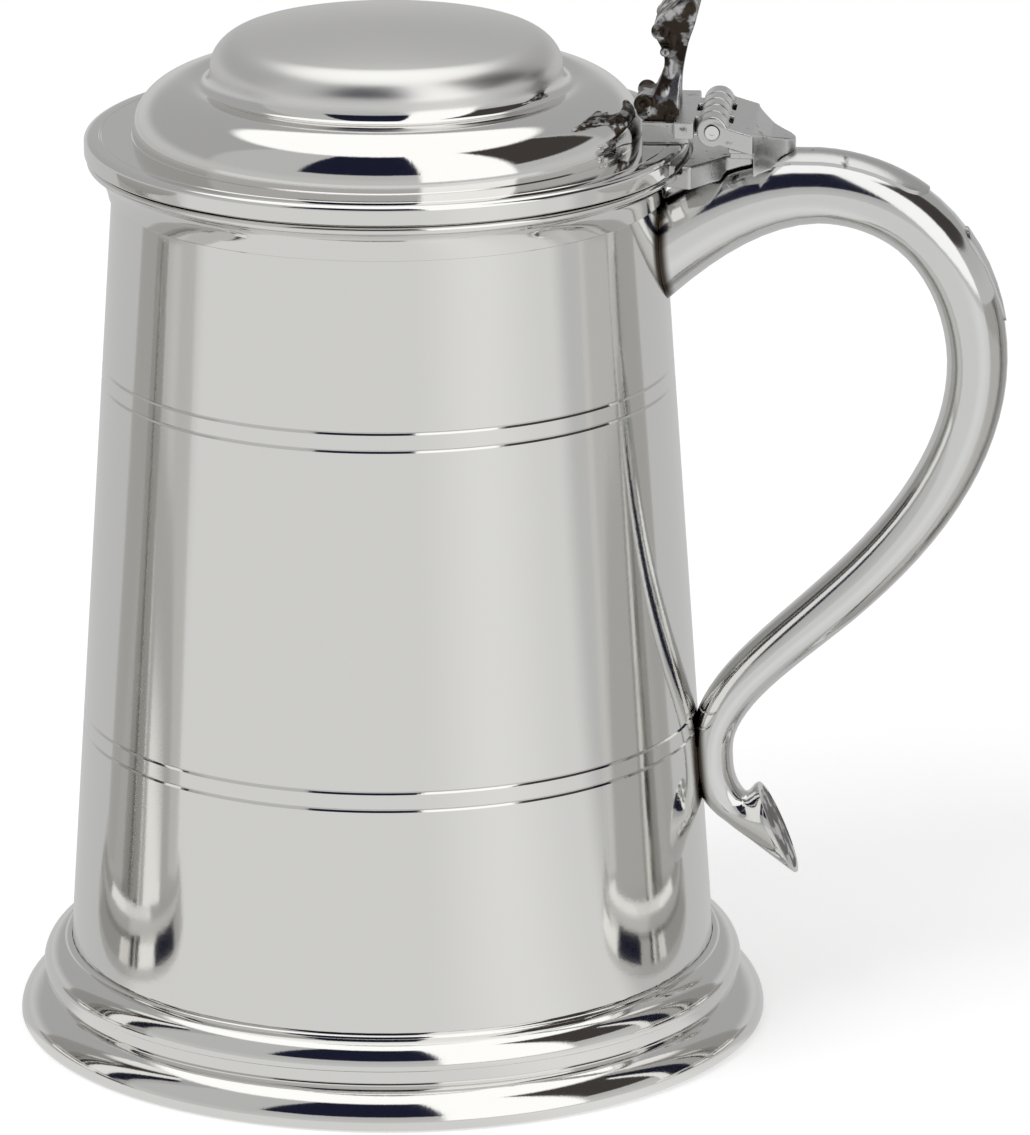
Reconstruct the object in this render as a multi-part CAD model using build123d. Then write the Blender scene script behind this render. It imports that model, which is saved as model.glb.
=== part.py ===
from build123d import *
import math
import os

# Lidded pewter tankard, in millimetres.
# Z is up and the origin is the centre of the face that the foot rests on.
# The handle lies along +X and the hinge pin along Y.

# Drum: a plain taper with two pairs of turned lines
BRIM_Z = 123.3
DRUM_BRIM_R = 37.34
DRUM_LOW_R = 44.8
DRUM_WALL = 1.25
LINE_PAIR_HEIGHTS = (43.8, 93.2)
LINE_SPACING = 2.45
LINE_WIDTH = 0.5
LINE_DEPTH = 0.18

# Floor disc, soldered under the drum
FLOOR_Z = 6.0
FLOOR_THICK = 1.2
FLOOR_SPIGOT = 0.6

# Foot: a turned ring with a skirt, a groove and a torus, measured out from the drum
FOOT_TOP_Z = 11.6
FOOT_SPREAD = 7.2
FOOT_EDGE = 0.7
FOOT_RIM_WIDTH = 2.3
SKIRT_WIDTH = 7.3
SKIRT_HEIGHT = 5.0
SKIRT_SWEEP = 57.0
GROOVE_SPREAD = 3.3
GROOVE_HEIGHT = 0.7
TORUS_SPREAD = 3.95
TORUS_Z = 7.5
TORUS_WIDTH = 3.55
TORUS_STEP = 0.35
TORUS_STEP_HEIGHT = 0.3
TORUS_SWEEP = 80.0
BEAD_WIDTH = 0.9
BEAD_HEIGHT = 0.45
LEDGE_WIDTH = 7.2
LEDGE_THICK = 1.2
FOOT_R = DRUM_LOW_R + FOOT_SPREAD

# Rim moulding, soldered round the brim
RIM_SPREAD = 3.66
RIM_HEIGHT = 5.4
RIM_LIP = 0.4
RIM_BEAD = 1.1
RIM_R = DRUM_BRIM_R + RIM_SPREAD
RIM_LOW_Z = BRIM_Z - RIM_HEIGHT

# Lid cover: flange, shoulder and cap, spun in one
LID_LIFT = 0.3
LID_OVERHANG = 0.35
LID_EDGE_HEIGHT = 2.65
LID_EDGE_WIDTH = 1.7
LID_EDGE_ROUND = 0.75
LID_WALL = 1.2
FLANGE_WIDTH = 6.6
SHOULDER_WIDTH = 7.5
SHOULDER_HEIGHT = 6.6
SHOULDER_FOOT = 0.6
CAP_STEP = 10.7
CAP_CREASE_WIDTH = 1.6
CAP_EDGE_RISE = 2.2
CAP_RISE = 6.4
CAP_CROWN = 1.9
CAP_ROUND = 3.9
LID_R = RIM_R + LID_OVERHANG
LID_CREASE_R = LID_R - FLANGE_WIDTH
CAP_R = LID_CREASE_R - CAP_STEP

# Bezel, the ring under the lid that drops into the mouth
BEZEL_DEPTH = 3.5
BEZEL_WALL = 1.1
BEZEL_CLEARANCE = 0.35
BEZEL_TAPER = 0.35

# Hinge: five knuckles on one pin
HINGE_REACH = 3.65
HINGE_RISE = 5.8
HINGE_LENGTH = 18.6
KNUCKLE_R = 2.1
KNUCKLE_COUNT = 5
KNUCKLE_GAP = 0.2
PIN_R = 0.95
PIN_CLEARANCE = 0.05
PIN_PROUD = 0.25
PIN_DIMPLE_R = 0.4
SWING_CLEARANCE = 0.45
HINGE_X = LID_R + HINGE_REACH
HINGE_Z = BRIM_Z + HINGE_RISE

# Leaf of the hinge on the handle: a sloping plate and an ogee tail
LEAF_RISE = 1.2
LEAF_SLOPE = 0.30
LEAF_THICK = 2.7
LEAF_LENGTH = 5.5
LEAF_SHOULDER = 0.7
LEAF_DROP = 0.65
LEAF_DROP_LENGTH = 2.3
LEAF_THROAT_OUT = 1.1
LEAF_THROAT_HALF = 6.0
LEAF_NECK_OUT = 2.5
LEAF_NECK_HALF = 3.9
LEAF_TIP_R = 2.5
LEAF_TAIL = 5.4
LEAF_RIB_HALF = 4.4

# Bracket under the hinge
BRACKET_RISE = 0.9
BRACKET_THICK = 3.2
BRACKET_WIDE_OUT = 1.0
BRACKET_HALF = 9.3
BRACKET_INNER_HALF = 7.4
BRACKET_END_OUT = 5.6
BRACKET_END_HALF = 3.0
BRACKET_TAIL = 3.6

# Leaf of the hinge on the lid, measured from the hinge pin
LUG_INNER = 5.3
LUG_OUTER = 2.5
LUG_RISE = 1.3
LUG_DROP = 1.0
LUG_FOOT_REACH = 9.8
LUG_FOOT_HALF = 5.0
LUG_FOOT_RISE = 0.3
LUG_FOOT_BACK = 0.9
NECK_HALF = 1.25

# Thumbpiece: outlines as (out from the hinge pin, up from its foot) and (half width, up)
THUMB_TOP = 19.8
THUMB_TOE = (-9.0, 1.5)
THUMB_TOE_R = 1.65
THUMB_INSTEP = (-7.9, 4.3)
THUMB_SHIN = (-6.9, 7.7)
THUMB_THROAT = (-7.35, 10.2)
THUMB_CURL = (-8.2, 13.0)
THUMB_BROW = (-6.6, 15.5)
THUMB_CREST = (-3.6, 18.2)
THUMB_NAPE = (-2.3, 16.0)
THUMB_BACK = (-3.2, 11.9)
THUMB_WAIST = (-4.3, 7.4)
THUMB_HEEL = (-4.6, 0.0)
THUMB_TOE_HALF = 4.2
THUMB_FOOT_HALF = 4.6
THUMB_WAIST_HALF = 2.4
THUMB_WAIST_UP = 6.6
THUMB_HEAD_HALF = 6.4
THUMB_HEAD_UP = 14.2

# Handle: centre line as (out, up) from the hinge pin, and lower down as (out from the drum, height)
HANDLE_ROOT = (-14.5, -24.3)
HANDLE_ROOT_SLOPE = 42.0
HANDLE_CROWN = (14.2, -9.7)
HANDLE_SHOULDER = (27.7, -14.7)
HANDLE_BACK = (35.9, -33.8)
HANDLE_CALF = (31.7, -50.0)
HANDLE_SHIN = (20.5, 60.85)
HANDLE_ANKLE = (7.6, 49.6)
HANDLE_INSTEP = (3.3, 43.9)
HANDLE_HEEL = (1.6, 38.0)
HANDLE_SOLE = (2.2, 33.6)
HANDLE_NECK = (4.45, 30.5)
HANDLE_NECK_SLOPE = -36.0
HANDLE_THICK = {"root": 13.2, "crown": 9.9, "back": 8.3, "shin": 7.4, "heel": 6.0, "neck": 5.0}
HANDLE_WIDTH = {"root": 13.2, "crown": 11.4, "back": 10.2, "shin": 8.6, "heel": 7.4, "neck": 6.4}
HANDLE_STATIONS = 16
HEEL_STATIONS = 9
SOLDER_GAP = 0.03

# Raised strap and tongue on the handle's back, measured from the hinge pin
STRAP_HALF = 3.2
STRAP_PROUD = 0.35
STRAP_END_OUT = 29.2
STRAP_CUT = 30.0
TONGUE_START = -14.1
TONGUE_END = -29.6
TONGUE_HALF = 2.1
TONGUE_PROUD = 0.45

# Terminal disc at the handle's lower end, as (out from the drum, height)
DISC_CENTRE = (10.2, 27.5)
DISC_TILT = 24.2
DISC_LENGTH = 13.8
DISC_WIDTH = 11.6
DISC_EDGE = 0.7
DISC_DOME = 0.5
FLARE_LAP = 0.6


def drum_radius(z):
    share = (z - FOOT_TOP_Z) / (BRIM_Z - FOOT_TOP_Z)
    return DRUM_LOW_R + (DRUM_BRIM_R - DRUM_LOW_R) * share


def turned(outline):
    return revolve(Plane.XZ * make_face(outline), Axis.Z)


def ring_of(points):
    return turned(Polyline(points, close=True))


def block(x0, x1, y0, y1, z0, z1):
    return Pos((x0 + x1) / 2, (y0 + y1) / 2, (z0 + z1) / 2) * Box(x1 - x0, y1 - y0, z1 - z0)


def cross_bar(radius, length, y=0.0):
    return Pos(HINGE_X, y, HINGE_Z) * Rot(90, 0, 0) * Cylinder(radius, length)


def line_grooves():
    """Outer outline points of the turned lines, from the foot up."""
    points = []
    for pair_z in LINE_PAIR_HEIGHTS:
        for z in (pair_z - LINE_SPACING / 2, pair_z + LINE_SPACING / 2):
            low, high = z - LINE_WIDTH / 2, z + LINE_WIDTH / 2
            points += [
                (drum_radius(low), low),
                (drum_radius(z) - LINE_DEPTH, z),
                (drum_radius(high), high),
            ]
    return points


def drum():
    outer = [(drum_radius(FLOOR_Z), FLOOR_Z)] + line_grooves() + [(DRUM_BRIM_R, BRIM_Z)]
    inner = [(DRUM_BRIM_R - DRUM_WALL, BRIM_Z), (drum_radius(FLOOR_Z) - DRUM_WALL, FLOOR_Z)]
    return ring_of(outer + inner)


def floor_disc():
    outer_r = drum_radius(FLOOR_Z)
    plate = Pos(0, 0, FLOOR_Z - FLOOR_THICK / 2) * Cylinder(outer_r, FLOOR_THICK)
    spigot_r = drum_radius(FLOOR_Z + FLOOR_SPIGOT) - DRUM_WALL - SOLDER_GAP
    spigot = Pos(0, 0, FLOOR_Z + FLOOR_SPIGOT / 2) * Cylinder(spigot_r, FLOOR_SPIGOT)
    return plate + spigot


def foot_moulding():
    """Foot ring: skirt, groove and torus outside, a ledge for the floor inside."""
    groove_r, torus_r = DRUM_LOW_R + GROOVE_SPREAD, DRUM_LOW_R + TORUS_SPREAD
    skirt_centre = (FOOT_R - SKIRT_WIDTH, FOOT_EDGE)
    skirt = EllipticalCenterArc(skirt_centre, SKIRT_WIDTH, SKIRT_HEIGHT, 0, arc_size=SKIRT_SWEEP)
    groove_low = skirt @ 1
    step_r, step_z = torus_r - TORUS_STEP, TORUS_Z - TORUS_STEP_HEIGHT
    shelf_r, shelf_z = groove_low.X - TORUS_STEP, groove_low.Y + GROOVE_HEIGHT
    torus_top_z = FOOT_TOP_Z - BEAD_HEIGHT
    torus_centre = (torus_r - TORUS_WIDTH, TORUS_Z)
    torus = EllipticalCenterArc(torus_centre, TORUS_WIDTH, torus_top_z - TORUS_Z, 0, arc_size=TORUS_SWEEP)
    bore_top = drum_radius(FOOT_TOP_Z) + SOLDER_GAP
    bore_low = drum_radius(FLOOR_Z) + SOLDER_GAP
    ledge_r = bore_low - LEDGE_WIDTH
    ledge_top = FLOOR_Z - FLOOR_THICK
    ledge_low = ledge_top - LEDGE_THICK
    bead = EllipticalCenterArc((bore_top, torus_top_z), BEAD_WIDTH, BEAD_HEIGHT)
    inner_rim = (FOOT_R - FOOT_RIM_WIDTH, 0)
    hollow_mid = ((bore_low + 2 * inner_rim[0]) / 3, ledge_low * 2 / 3)
    outline = [
        Line((FOOT_R - FOOT_EDGE / 2, 0), (FOOT_R, FOOT_EDGE)),
        skirt,
        Polyline(
            groove_low, (groove_r, groove_low.Y + GROOVE_HEIGHT / 3), (shelf_r, shelf_z),
            (step_r, step_z), (step_r, TORUS_Z), (torus_r, TORUS_Z),
        ),
        torus,
        Line(torus @ 1, bead @ 0),
        bead,
        Polyline(
            (bore_top, FOOT_TOP_Z), (bore_low, FLOOR_Z), (bore_low, ledge_top),
            (ledge_r, ledge_top), (ledge_r, ledge_low), (bore_low, ledge_low),
        ),
        ThreePointArc((bore_low, ledge_low), hollow_mid, inner_rim),
        Line(inner_rim, (FOOT_R - FOOT_EDGE / 2, 0)),
    ]
    return turned(outline)


def rim_outer_edges():
    """Lip, cove and bead of the rim moulding, from the drum out to the brim."""
    bore_low = drum_radius(RIM_LOW_Z) + SOLDER_GAP
    lip_r = bore_low + RIM_LIP
    bead_low_z = BRIM_Z - RIM_BEAD
    cove_end = (RIM_R - RIM_BEAD * 0.45, bead_low_z)
    cove_mid = (lip_r + 0.30 * (cove_end[0] - lip_r), RIM_LOW_Z + 0.62 * (bead_low_z - RIM_LOW_Z))
    lip = Line((bore_low, RIM_LOW_Z), (lip_r, RIM_LOW_Z))
    cove = ThreePointArc((lip_r, RIM_LOW_Z), cove_mid, cove_end)
    bead = ThreePointArc(cove_end, (RIM_R, bead_low_z + RIM_BEAD * 0.5), (RIM_R - RIM_BEAD * 0.4, BRIM_Z))
    return lip, cove, bead


def rim_moulding():
    """Cove and bead round the brim."""
    lip, cove, bead = rim_outer_edges()
    bore_high = (DRUM_BRIM_R + SOLDER_GAP, BRIM_Z)
    return turned([lip, cove, bead, Line(bead @ 1, bore_high), Line(bore_high, lip @ 0)])


def lid_levels():
    """Heights of the lid's lip, flange top, shoulder foot and shoulder top."""
    lip = BRIM_Z + LID_LIFT
    flange = lip + LID_EDGE_HEIGHT
    foot = flange + SHOULDER_FOOT
    return lip, flange, foot, foot + SHOULDER_HEIGHT


def on_crown(half_chord, rise, crown_z):
    """Point halfway along a shallow crown whose centre lies on the axis."""
    radius = (half_chord ** 2 + rise ** 2) / (2 * rise)
    r = half_chord / 2
    return r, crown_z - radius + math.sqrt(radius ** 2 - r ** 2)


def cap_edge(inset):
    """Rounded edge and shallow crown of the cap, from its side to the centre."""
    top = lid_levels()[3]
    side = (CAP_R - inset, top + CAP_EDGE_RISE - inset)
    crown_z = top + CAP_RISE + CAP_CROWN - inset
    edge = (CAP_R - CAP_ROUND, top + CAP_RISE - inset)
    bulge = (side[0] - (side[0] - edge[0]) / 4, side[1] + (edge[1] - side[1]) * 0.62)
    crown_mid = on_crown(edge[0], CAP_CROWN, crown_z)
    return side, [ThreePointArc(side, bulge, edge), ThreePointArc(edge, crown_mid, (0, crown_z))]


def dome_outline():
    """Outside of the lid from the flange crease over shoulder, crease and cap."""
    flange, foot = lid_levels()[1:3]
    centre_r = LID_CREASE_R - SHOULDER_WIDTH
    crease_r = CAP_R + CAP_CREASE_WIDTH
    sweep = math.degrees(math.acos((crease_r - centre_r) / SHOULDER_WIDTH))
    shoulder = EllipticalCenterArc((centre_r, foot), SHOULDER_WIDTH, SHOULDER_HEIGHT, 0, arc_size=sweep)
    crease = shoulder @ 1
    side, crown = cap_edge(0)
    cove_mid = (side[0] + CAP_CREASE_WIDTH / 3, crease.Y + (side[1] - crease.Y) * 0.4)
    return [
        Line((LID_CREASE_R, flange), (LID_CREASE_R, foot)),
        shoulder,
        ThreePointArc(crease, cove_mid, side),
        *crown,
    ]


def hollow_outline():
    """Inside of the lid, a wall's thickness below the outside."""
    flange, foot, top = lid_levels()[1:]
    wall_r = LID_CREASE_R - LID_WALL
    under = top - LID_WALL
    centre = (LID_CREASE_R - SHOULDER_WIDTH, foot)
    shoulder = EllipticalCenterArc(centre, SHOULDER_WIDTH - LID_WALL, SHOULDER_HEIGHT - LID_WALL)
    side, crown = cap_edge(LID_WALL)
    return [
        Line((wall_r, flange - LID_WALL), (wall_r, foot)),
        shoulder,
        Polyline(shoulder @ 1, (side[0], under), side),
        *crown,
    ]


def lid_edge_outline():
    """Rounded edge of the flange, from the lip's inner corner round to the flange top."""
    lip, flange = lid_levels()[:2]
    edge_low = (LID_R - LID_EDGE_ROUND, lip)
    edge_high = (LID_R - LID_EDGE_ROUND * 0.6, flange)
    return [
        Line((LID_R - LID_EDGE_WIDTH, lip), edge_low),
        ThreePointArc(edge_low, (LID_R, (lip + flange) / 2), edge_high),
        Line(edge_high, (LID_CREASE_R, flange)),
    ]


def lid_cover():
    lip, flange = lid_levels()[:2]
    outer, inner = dome_outline(), hollow_outline()
    under = flange - LID_WALL
    edge_in = LID_R - LID_EDGE_WIDTH
    return turned([
        *lid_edge_outline(), *outer,
        Line(outer[-1] @ 1, inner[-1] @ 1),
        *inner,
        Polyline((LID_CREASE_R - LID_WALL, under), (edge_in, under), (edge_in, lip)),
    ])


def lid_envelope(room):
    """Filled lid, larger all round by room, for cutting seats and clearances."""
    lip, flange, foot, top = lid_levels()
    dome_top = top + room
    points = [
        (0, lip - room),
        (LID_R + room, lip - room),
        (LID_R + room, flange + room),
        (LID_CREASE_R + room, flange + room),
        (LID_CREASE_R + room, foot),
    ]
    centre = (LID_CREASE_R - SHOULDER_WIDTH, foot)
    shoulder = EllipticalCenterArc(centre, SHOULDER_WIDTH + room, SHOULDER_HEIGHT + room)
    outline = [Polyline(points), shoulder, Line(shoulder @ 1, (0, dome_top)), Line((0, dome_top), points[0])]
    return turned(outline)


def lid_bezel():
    lip, flange, foot, top = lid_levels()
    under = flange - LID_WALL
    mouth_r = DRUM_BRIM_R - DRUM_WALL
    top_r = mouth_r - BEZEL_CLEARANCE
    low_r = top_r - BEZEL_TAPER
    low_z = BRIM_Z - BEZEL_DEPTH
    return ring_of(
        [
            (top_r - BEZEL_WALL, under),
            (top_r, under),
            (top_r, BRIM_Z),
            (low_r, low_z),
            (low_r - BEZEL_WALL, low_z),
            (top_r - BEZEL_WALL, BRIM_Z),
        ]
    )


def knuckle_span(index):
    """Middle and length along Y of one knuckle, counted from the near end."""
    pitch = HINGE_LENGTH / KNUCKLE_COUNT
    middle = -HINGE_LENGTH / 2 + pitch * (index + 0.5)
    return middle, pitch - KNUCKLE_GAP


def hinge_bores():
    return cross_bar(PIN_R + PIN_CLEARANCE, HINGE_LENGTH + 2)


def pin():
    length = HINGE_LENGTH + 2 * PIN_PROUD
    shaft = cross_bar(PIN_R, length)
    for end in (-1, 1):
        shaft -= cross_bar(PIN_DIMPLE_R, PIN_PROUD * 2, end * length / 2)
    return shaft


def leaf_top_line(low_z):
    """Side outline of all that lies under the top of the handle leaf, down to low_z."""
    plate_end, tail_end = HINGE_X + LEAF_LENGTH, HINGE_X + LEAF_LENGTH + LEAF_TAIL
    start_z = HINGE_Z + LEAF_RISE
    plate_z = start_z - LEAF_SLOPE * LEAF_LENGTH
    drop_z = plate_z - LEAF_DROP - LEAF_SLOPE * LEAF_DROP_LENGTH
    tail_z = drop_z - LEAF_SLOPE * (LEAF_TAIL - LEAF_DROP_LENGTH)
    return Plane.XZ * make_face(Polyline(
        (HINGE_X, low_z), (tail_end, low_z), (tail_end, tail_z),
        (plate_end + LEAF_DROP_LENGTH, drop_z), (plate_end, plate_z), (HINGE_X, start_z), close=True,
    ))


def leaf_plate():
    """Sloping plate of even thickness from the knuckles to the plate's end."""
    end_x, drop = HINGE_X + LEAF_LENGTH, LEAF_SLOPE * LEAF_LENGTH
    top = HINGE_Z + LEAF_RISE
    side = Polyline(
        (HINGE_X, top), (end_x, top - drop), (end_x, top - drop - LEAF_THICK), (HINGE_X, top - LEAF_THICK),
        close=True,
    )
    return extrude(Plane.XZ * make_face(side), HINGE_LENGTH / 2, both=True)


def leaf_plan():
    """Plan of the tail: square shoulders drawn in by an ogee to a rounded tip."""
    plate_x = HINGE_X + LEAF_LENGTH
    back_x = HINGE_X + KNUCKLE_R
    shoulder_y = HINGE_LENGTH / 2 - LEAF_SHOULDER
    tip_x = plate_x + LEAF_TAIL
    side = Spline(
        (plate_x, shoulder_y),
        (plate_x + LEAF_THROAT_OUT, LEAF_THROAT_HALF),
        (plate_x + LEAF_NECK_OUT, LEAF_NECK_HALF),
        (tip_x - LEAF_TIP_R / 2, LEAF_TIP_R * 0.9),
        tangents=[(0.2, -1), (1, -0.8)],
    )
    tip = ThreePointArc(side @ 1, (tip_x, 0), mirror(side, Plane.XZ) @ 1)
    back = Polyline((plate_x, -shoulder_y), (back_x, -shoulder_y), (back_x, shoulder_y), (plate_x, shoulder_y))
    return make_face([side, tip, mirror(side, Plane.XZ), back])


def knuckles(indexes, radius, spare=0.0):
    group = []
    for index in indexes:
        middle, length = knuckle_span(index)
        group.append(cross_bar(radius, length + spare, middle))
    return group


def handle_hinge_leaf(seats):
    """Plate with three knuckles and a solid tail that sits on the handle."""
    bracket_top = BRIM_Z + BRACKET_RISE
    low_z = bracket_top - BRACKET_THICK
    plate_end = HINGE_X + LEAF_LENGTH
    half = HINGE_LENGTH / 2
    under_z = HINGE_Z + LEAF_RISE - LEAF_SLOPE * LEAF_LENGTH - LEAF_THICK
    tail = Pos(0, 0, low_z) * extrude(leaf_plan(), HINGE_Z + LEAF_RISE - low_z)
    tail &= extrude(leaf_top_line(low_z), half, both=True)
    tail -= block(HINGE_X, plate_end, -half, half, low_z, bracket_top)
    side_room = block(HINGE_X, plate_end, LEAF_RIB_HALF, half, low_z, under_z)
    tail = tail - side_room - mirror(side_room, Plane.XZ)
    leaf = leaf_plate() + tail
    for swing in knuckles((1, 3), KNUCKLE_R + SWING_CLEARANCE, 2 * KNUCKLE_GAP):
        leaf -= swing
    for knuckle in knuckles((0, 2, 4), KNUCKLE_R):
        leaf += knuckle
    leaf -= hinge_bores()
    for seat in seats:
        leaf -= seat
    return leaf


def hinge_bracket(seats):
    """Kite-shaped lug between the rim and the handle, under the hinge."""
    inner_x, wide_x = DRUM_BRIM_R, RIM_R + BRACKET_WIDE_OUT
    end_x = RIM_R + BRACKET_END_OUT
    tail_x = end_x + BRACKET_TAIL
    plan = make_face(Polyline(
        (inner_x, -BRACKET_INNER_HALF), (wide_x, -BRACKET_HALF), (end_x, -BRACKET_END_HALF),
        (tail_x, -BRACKET_END_HALF), (tail_x, BRACKET_END_HALF),
        (end_x, BRACKET_END_HALF), (wide_x, BRACKET_HALF), (inner_x, BRACKET_INNER_HALF),
        close=True,
    ))
    lug = Pos(0, 0, BRIM_Z + BRACKET_RISE - BRACKET_THICK) * extrude(plan, BRACKET_THICK)
    for seat in seats:
        lug -= seat
    return lug


def body_envelope():
    """Filled drum and rim moulding, for cutting the seats of what joins them."""
    low_z = FOOT_TOP_Z
    start = (drum_radius(low_z) + SOLDER_GAP, low_z)
    lip_low, cove, bead = rim_outer_edges()
    outline = [
        Line((0, low_z), start),
        Line(start, (drum_radius(RIM_LOW_Z) + SOLDER_GAP, RIM_LOW_Z)),
        lip_low, cove, bead,
        Line(bead @ 1, (0, BRIM_Z)),
        Line((0, BRIM_Z), (0, low_z)),
    ]
    return turned(outline)


def lid_hinge_leaf(seat):
    """Bar with two knuckles, on a foot that is soldered to the lid's flange."""
    half = HINGE_LENGTH / 2
    outer_x = HINGE_X - LUG_OUTER
    leaf = block(HINGE_X - LUG_INNER, outer_x, -half, half, HINGE_Z - LUG_DROP, HINGE_Z + LUG_RISE)
    leaf += block(
        HINGE_X - LUG_FOOT_REACH, outer_x - LUG_FOOT_BACK, -LUG_FOOT_HALF, LUG_FOOT_HALF,
        lid_levels()[1], HINGE_Z + LUG_FOOT_RISE,
    )
    for index in (1, 3):
        middle, length = knuckle_span(index)
        neck_x = outer_x - NECK_HALF
        low_z, high_z = HINGE_Z - NECK_HALF, HINGE_Z + NECK_HALF
        leaf += block(neck_x, HINGE_X, middle - length / 2, middle + length / 2, low_z, high_z)
    for knuckle in knuckles((1, 3), KNUCKLE_R):
        leaf += knuckle
    leaf -= hinge_bores()
    return leaf - seat


def thumb_point(outline_point):
    out, up = outline_point
    return HINGE_X + out, HINGE_Z + LUG_FOOT_RISE + up


def thumb_side():
    """Side outline: toe, waist, forward curl and swept-back top."""
    front = Spline([thumb_point(p) for p in (
        (THUMB_TOE[0], THUMB_TOE[1]), THUMB_INSTEP, THUMB_SHIN, THUMB_THROAT, THUMB_CURL, THUMB_BROW, THUMB_CREST,
    )])
    back = Spline([thumb_point(p) for p in (THUMB_CREST, THUMB_NAPE, THUMB_BACK, THUMB_WAIST, THUMB_HEEL)])
    base = Polyline(back @ 1, thumb_point((THUMB_TOE[0], 0)), front @ 0)
    return Plane.XZ * make_face([front, back, base])


def thumb_front():
    """Front outline: spread foot, narrow waist, wide rounded head."""
    foot_z = HINGE_Z + LUG_FOOT_RISE
    side = Spline(
        (THUMB_FOOT_HALF, foot_z),
        (THUMB_WAIST_HALF, foot_z + THUMB_WAIST_UP),
        (THUMB_HEAD_HALF, foot_z + THUMB_HEAD_UP),
        (0, foot_z + THUMB_TOP),
        tangents=[(0, 1), (-1, 0)],
    )
    base = Line((-THUMB_FOOT_HALF, foot_z), (THUMB_FOOT_HALF, foot_z))
    return Plane.YZ * make_face([side, mirror(side, Plane.YZ), base])


def thumbpiece(seat):
    piece = extrude(thumb_side(), THUMB_HEAD_HALF + 1, both=True)
    piece &= extrude(thumb_front(), 2 * HINGE_X)
    toe_x, toe_z = thumb_point(THUMB_TOE)
    piece += Pos(toe_x, 0, toe_z) * Rot(90, 0, 0) * Cylinder(THUMB_TOE_R, 2 * THUMB_TOE_HALF)
    return piece - seat


def by_hinge(point):
    """A handle point given from the hinge pin."""
    return Vector(HINGE_X + point[0], 0, HINGE_Z + point[1])


def by_drum(point):
    """A handle point given from the drum's side at its own height."""
    return Vector(drum_radius(point[1]) + point[0], 0, point[1])


def handle_path():
    upper = [HANDLE_ROOT, HANDLE_CROWN, HANDLE_SHOULDER, HANDLE_BACK, HANDLE_CALF]
    lower = [HANDLE_SHIN, HANDLE_ANKLE, HANDLE_INSTEP, HANDLE_HEEL, HANDLE_SOLE, HANDLE_NECK]
    root, neck = math.radians(HANDLE_ROOT_SLOPE), math.radians(HANDLE_NECK_SLOPE)
    tangents = [(math.cos(root), 0, math.sin(root)), (math.cos(neck), 0, math.sin(neck))]
    return Spline([by_hinge(p) for p in upper] + [by_drum(p) for p in lower], tangents=tangents)


def handle_marks(path):
    """Shares of the handle's length at which its section has a given size."""
    return [
        (0.0, "root"),
        (path.param_at_point(by_hinge(HANDLE_CROWN)), "crown"),
        (path.param_at_point(by_hinge(HANDLE_BACK)), "back"),
        (path.param_at_point(by_drum(HANDLE_SHIN)), "shin"),
        (path.param_at_point(by_drum(HANDLE_HEEL)), "heel"),
        (1.0, "neck"),
    ]


def handle_sizes(marks, share):
    """Thickness and width of the section at a share of the handle's length."""
    for (low, first), (high, second) in zip(marks, marks[1:]):
        if share <= high:
            part = (share - low) / (high - low)
            thick = HANDLE_THICK[first] + part * (HANDLE_THICK[second] - HANDLE_THICK[first])
            width = HANDLE_WIDTH[first] + part * (HANDLE_WIDTH[second] - HANDLE_WIDTH[first])
            return thick, width


def oval(centre, direction, thick, width):
    """Oval face square to a direction in the XZ plane; the width lies along Y."""
    outward = (-direction.Z, 0, direction.X)
    plane = Plane(origin=centre, x_dir=outward, z_dir=direction)
    return plane * Ellipse(thick / 2, width / 2)


def handle_bar(proud=0.0):
    """Loft along the centre line, with closer sections round the lower bend."""
    path = handle_path()
    marks = handle_marks(path)
    bend = path.param_at_point(by_drum(HANDLE_ANKLE))
    shares = [bend * index / HANDLE_STATIONS for index in range(HANDLE_STATIONS)]
    shares += [bend + (1 - bend) * index / (HEEL_STATIONS - 1) for index in range(HEEL_STATIONS)]
    sections = []
    for share in shares:
        thick, width = handle_sizes(marks, min(share, 1.0))
        sections.append(oval(path @ share, path % share, thick + 2 * proud, width + 2 * proud))
    return loft(sections)


def terminal_disc():
    """Oval disc with a sharp edge and a low dome, turned and then narrowed."""
    length_r = DISC_LENGTH / 2
    crown = ThreePointArc((length_r, 0), on_crown(length_r, DISC_DOME, DISC_DOME), (0, DISC_DOME))
    back = Polyline((0, DISC_DOME), (0, -DISC_EDGE), (length_r - DISC_EDGE, -DISC_EDGE), (length_r, 0))
    disc = scale(turned([crown, back]), by=(DISC_WIDTH / DISC_LENGTH, 1, 1))
    tilt = math.radians(DISC_TILT)
    return Plane(origin=by_drum(DISC_CENTRE), x_dir=(0, 1, 0), z_dir=(math.cos(tilt), 0, math.sin(tilt))) * disc


def terminal_flare():
    """Stem widening from the handle's neck to the back of the disc."""
    neck, tilt = math.radians(HANDLE_NECK_SLOPE), math.radians(DISC_TILT)
    stem = Vector(math.cos(neck), 0, math.sin(neck))
    along = Vector(math.cos(tilt), 0, math.sin(tilt))
    start = by_drum(HANDLE_NECK) - stem * FLARE_LAP
    back = by_drum(DISC_CENTRE) - along * DISC_EDGE / 2
    spread = 1 - 2 * DISC_EDGE / DISC_LENGTH
    return loft([
        oval(start, stem, HANDLE_THICK["neck"], HANDLE_WIDTH["neck"]),
        oval(back, along, DISC_LENGTH * spread, DISC_WIDTH * spread),
    ])


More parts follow.
